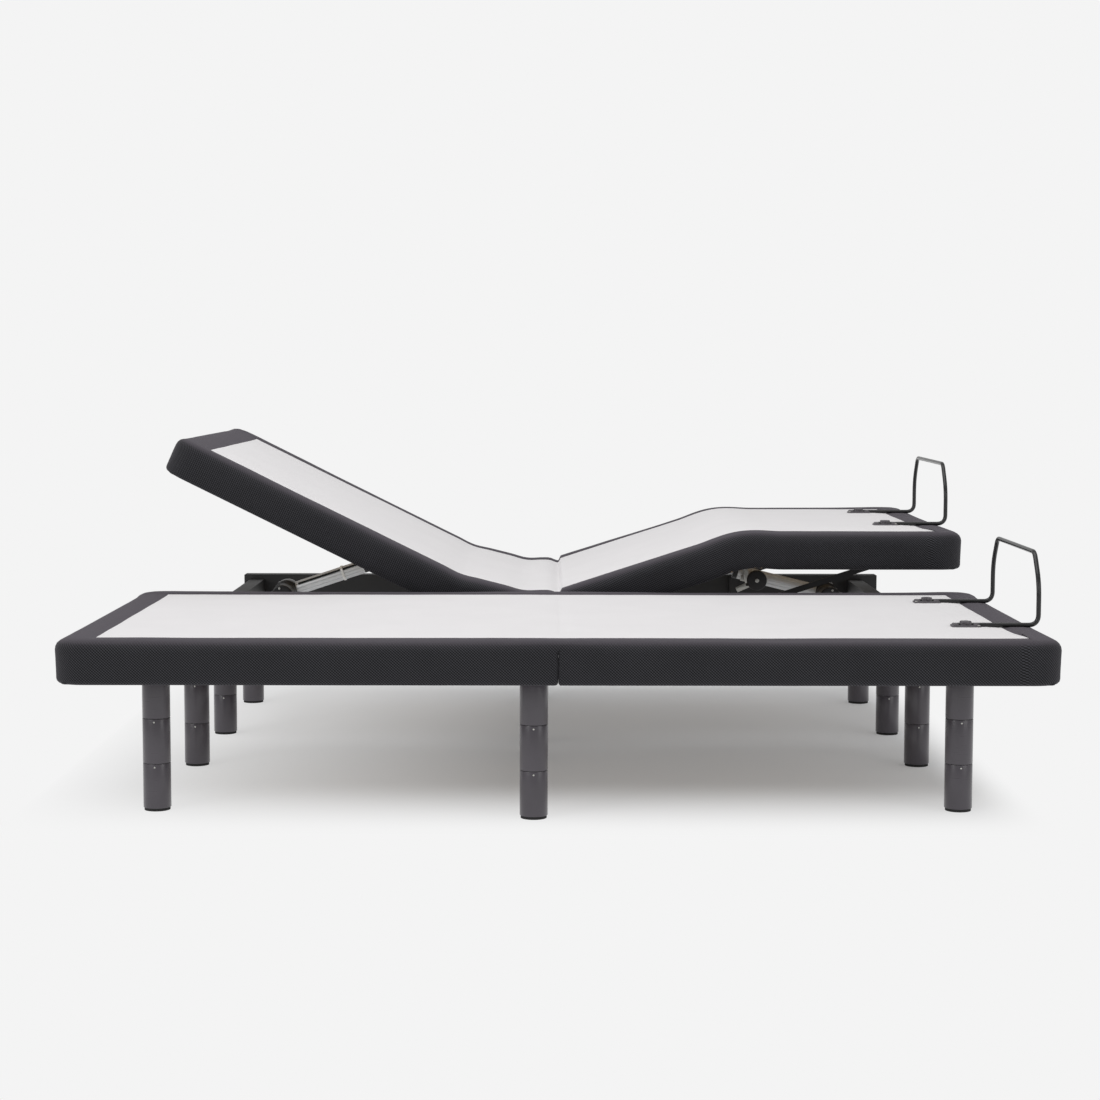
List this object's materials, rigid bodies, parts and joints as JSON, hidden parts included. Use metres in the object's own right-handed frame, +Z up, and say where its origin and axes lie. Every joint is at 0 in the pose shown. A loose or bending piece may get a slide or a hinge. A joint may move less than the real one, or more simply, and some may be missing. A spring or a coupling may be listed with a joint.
{
  "type": "adjustable bed base",
  "caption": "Split adjustable bed base: side by side upholstered decks on steel frames and round legs, folding at lumbar, back, hip and knee by linear actuators, with mattress retainer bars.",
  "frame": {"origin": "on the floor under the middle of the pair of units", "axes": "+X from the head end to the foot end, +Y from the flat front unit to the raised rear unit, +Z up"},
  "size_m": [2.03, 1.94, 0.7627],
  "materials": {
    "frame_paint": "satin black powder coat",
    "deck_board": "raw plywood",
    "mesh_fabric": "charcoal woven mesh",
    "motor_housing": "matte",
    "guide_aluminium": "extruded, satin",
    "rod_steel": "ground steel",
    "lead_jacket": "matte",
    "clamp_plastic": "matte",
    "bar_paint": "gloss black powder coat",
    "leg_paint": "satin black",
    "glide_rubber": "matte"
  },
  "bodies": {
    "base": {"leg_top_segments": "leg_paint", "leg_middle_segments": "leg_paint", "leg_bottom_segments": "leg_paint", "leg_glides": "glide_rubber", "frame_joint_plates": "frame_paint", "unit_link_plates": "frame_paint", "front_head_frame": "frame_paint", "front_foot_frame": "frame_paint", "front_control_box": "motor_housing", "front_seat_panel": "deck_board", "front_seat_pad": "mesh_fabric", "rear_head_frame": "frame_paint", "rear_foot_frame": "frame_paint", "rear_control_box": "motor_housing", "rear_seat_panel": "deck_board", "rear_seat_pad": "mesh_fabric"},
    "front_lumbar": {"front_lumbar_links": "frame_paint", "front_lumbar_panel": "deck_board", "front_lumbar_pad": "mesh_fabric"},
    "front_back": {"front_back_frame": "frame_paint", "front_back_panel": "deck_board", "front_back_pad": "mesh_fabric"},
    "front_thigh": {"front_thigh_frame": "frame_paint", "front_thigh_panel": "deck_board", "front_thigh_pad": "mesh_fabric"},
    "front_calf": {"front_calf_frame": "frame_paint", "front_calf_panel": "deck_board", "front_calf_pad": "mesh_fabric", "front_bar_clamps": "clamp_plastic", "front_retainer_bar": "bar_paint"},
    "front_stays": {"front_calf_stays": "frame_paint"},
    "front_back_actuator": {"front_back_motor": "motor_housing", "front_back_guide_tube": "guide_aluminium", "front_switch_lead": "lead_jacket"},
    "front_back_rod": {"front_back_push_rod": "rod_steel"},
    "front_thigh_actuator": {"front_thigh_motor": "motor_housing", "front_thigh_guide_tube": "guide_aluminium"},
    "front_thigh_rod": {"front_thigh_push_rod": "rod_steel"},
    "rear_lumbar": {"rear_lumbar_links": "frame_paint", "rear_lumbar_panel": "deck_board", "rear_lumbar_pad": "mesh_fabric"},
    "rear_back": {"rear_back_frame": "frame_paint", "rear_back_panel": "deck_board", "rear_back_pad": "mesh_fabric"},
    "rear_thigh": {"rear_thigh_frame": "frame_paint", "rear_thigh_panel": "deck_board", "rear_thigh_pad": "mesh_fabric"},
    "rear_calf": {"rear_calf_frame": "frame_paint", "rear_calf_panel": "deck_board", "rear_calf_pad": "mesh_fabric", "rear_bar_clamps": "clamp_plastic", "rear_retainer_bar": "bar_paint"},
    "rear_stays": {"rear_calf_stays": "frame_paint"},
    "rear_back_actuator": {"rear_back_motor": "motor_housing", "rear_back_guide_tube": "guide_aluminium", "rear_switch_lead": "lead_jacket"},
    "rear_back_rod": {"rear_back_push_rod": "rod_steel"},
    "rear_thigh_actuator": {"rear_thigh_motor": "motor_housing", "rear_thigh_guide_tube": "guide_aluminium"},
    "rear_thigh_rod": {"rear_thigh_push_rod": "rod_steel"}
  },
  "joints": [
    {"name": "front_lumbar_fold", "type": "hinge", "parent": "base", "child": "front_lumbar", "pos_m": [-0.084, -0.4875, 0.362], "axis": [0, 1, 0], "range_deg": [0, 33]},
    {"name": "front_back_fold", "type": "hinge", "parent": "front_lumbar", "child": "front_back", "pos_m": [-0.247, -0.4875, 0.362], "axis": [0, 1, 0], "range_deg": [-0.3, 27.3]},
    {"name": "front_back_actuator_tilt", "type": "hinge", "parent": "base", "child": "front_back_actuator", "pos_m": [-0.76, -0.4875, 0.32], "axis": [0, -1, 0], "range_deg": [-0.3, 28.56]},
    {"name": "front_back_rod_slide", "type": "slide", "parent": "front_back_actuator", "child": "front_back_rod", "axis": [0.9996, 0, 0.0278], "range_m": [-0.002, 0.135]},
    {"name": "front_thigh_fold", "type": "hinge", "parent": "base", "child": "front_thigh", "pos_m": [0, -0.4875, 0.362], "axis": [0, -1, 0], "range_deg": [0, 40]},
    {"name": "front_knee_fold", "type": "hinge", "parent": "front_thigh", "child": "front_calf", "pos_m": [0.47, -0.4875, 0.362], "axis": [0, 1, 0], "range_deg": [-0.3, 40.3]},
    {"name": "front_stay_tilt", "type": "hinge", "parent": "base", "child": "front_stays", "pos_m": [0.5, -0.4875, 0.344], "axis": [0, -1, 0], "range_deg": [-0.3, 40.3]},
    {"name": "front_thigh_actuator_tilt", "type": "hinge", "parent": "base", "child": "front_thigh_actuator", "pos_m": [0.76, -0.4875, 0.32], "axis": [0, 1, 0], "range_deg": [-0.3, 24.5]},
    {"name": "front_thigh_rod_slide", "type": "slide", "parent": "front_thigh_actuator", "child": "front_thigh_rod", "axis": [-0.9997, 0, 0.0227], "range_m": [-0.002, 0.0949]},
    {"name": "rear_lumbar_fold", "type": "hinge", "parent": "base", "child": "rear_lumbar", "pos_m": [-0.084, 0.4875, 0.362], "axis": [0, 1, 0], "range_deg": [-14.46, 18.54]},
    {"name": "rear_back_fold", "type": "hinge", "parent": "rear_lumbar", "child": "rear_back", "pos_m": [-0.24183, 0.4875, 0.40272], "axis": [0, 1, 0], "range_deg": [-12.13, 15.46]},
    {"name": "rear_back_actuator_tilt", "type": "hinge", "parent": "base", "child": "rear_back_actuator", "pos_m": [-0.76, 0.4875, 0.32], "axis": [0, -1, 0], "range_deg": [-15, 19.14]},
    {"name": "rear_back_rod_slide", "type": "slide", "parent": "rear_back_actuator", "child": "rear_back_rod", "axis": [0.949, 0, 0.3152], "range_m": [-0.0865, 0.1102]},
    {"name": "rear_thigh_fold", "type": "hinge", "parent": "base", "child": "rear_thigh", "pos_m": [0, 0.4875, 0.362], "axis": [0, -1, 0], "range_deg": [-18, 22]},
    {"name": "rear_knee_fold", "type": "hinge", "parent": "rear_thigh", "child": "rear_calf", "pos_m": [0.447, 0.4875, 0.50724], "axis": [0, 1, 0], "range_deg": [-18.3, 22.3]},
    {"name": "rear_stay_tilt", "type": "hinge", "parent": "base", "child": "rear_stays", "pos_m": [0.5, 0.4875, 0.344], "axis": [0, -1, 0], "range_deg": [-18.3, 22.3]},
    {"name": "rear_thigh_actuator_tilt", "type": "hinge", "parent": "base", "child": "rear_thigh_actuator", "pos_m": [0.76, 0.4875, 0.32], "axis": [0, 1, 0], "range_deg": [-12.32, 15]},
    {"name": "rear_thigh_rod_slide", "type": "slide", "parent": "rear_thigh_actuator", "child": "rear_thigh_rod", "axis": [-0.9706, 0, 0.2405], "range_m": [-0.0523, 0.0634]}
  ],
  "couplings": [
    {"joint": "front_back_fold", "follows": "front_lumbar_fold", "ratio": 0.81818},
    {"joint": "front_back_actuator_tilt", "follows": "front_lumbar_fold", "ratio": 0.85636},
    {"joint": "front_back_rod_slide", "follows": "front_lumbar_fold", "m_per_rad": 0.23091},
    {"joint": "front_knee_fold", "follows": "front_thigh_fold", "ratio": 1},
    {"joint": "front_stay_tilt", "follows": "front_thigh_fold", "ratio": 1},
    {"joint": "front_thigh_actuator_tilt", "follows": "front_thigh_fold", "ratio": 0.605},
    {"joint": "front_thigh_rod_slide", "follows": "front_thigh_fold", "m_per_rad": 0.133},
    {"joint": "rear_back_fold", "follows": "rear_lumbar_fold", "ratio": 0.81818},
    {"joint": "rear_back_actuator_tilt", "follows": "rear_lumbar_fold", "ratio": 1.0164},
    {"joint": "rear_back_rod_slide", "follows": "rear_lumbar_fold", "m_per_rad": 0.33454},
    {"joint": "rear_knee_fold", "follows": "rear_thigh_fold", "ratio": 1},
    {"joint": "rear_stay_tilt", "follows": "rear_thigh_fold", "ratio": 1},
    {"joint": "rear_thigh_actuator_tilt", "follows": "rear_thigh_fold", "ratio": 0.668},
    {"joint": "rear_thigh_rod_slide", "follows": "rear_thigh_fold", "m_per_rad": 0.16}
  ]
}
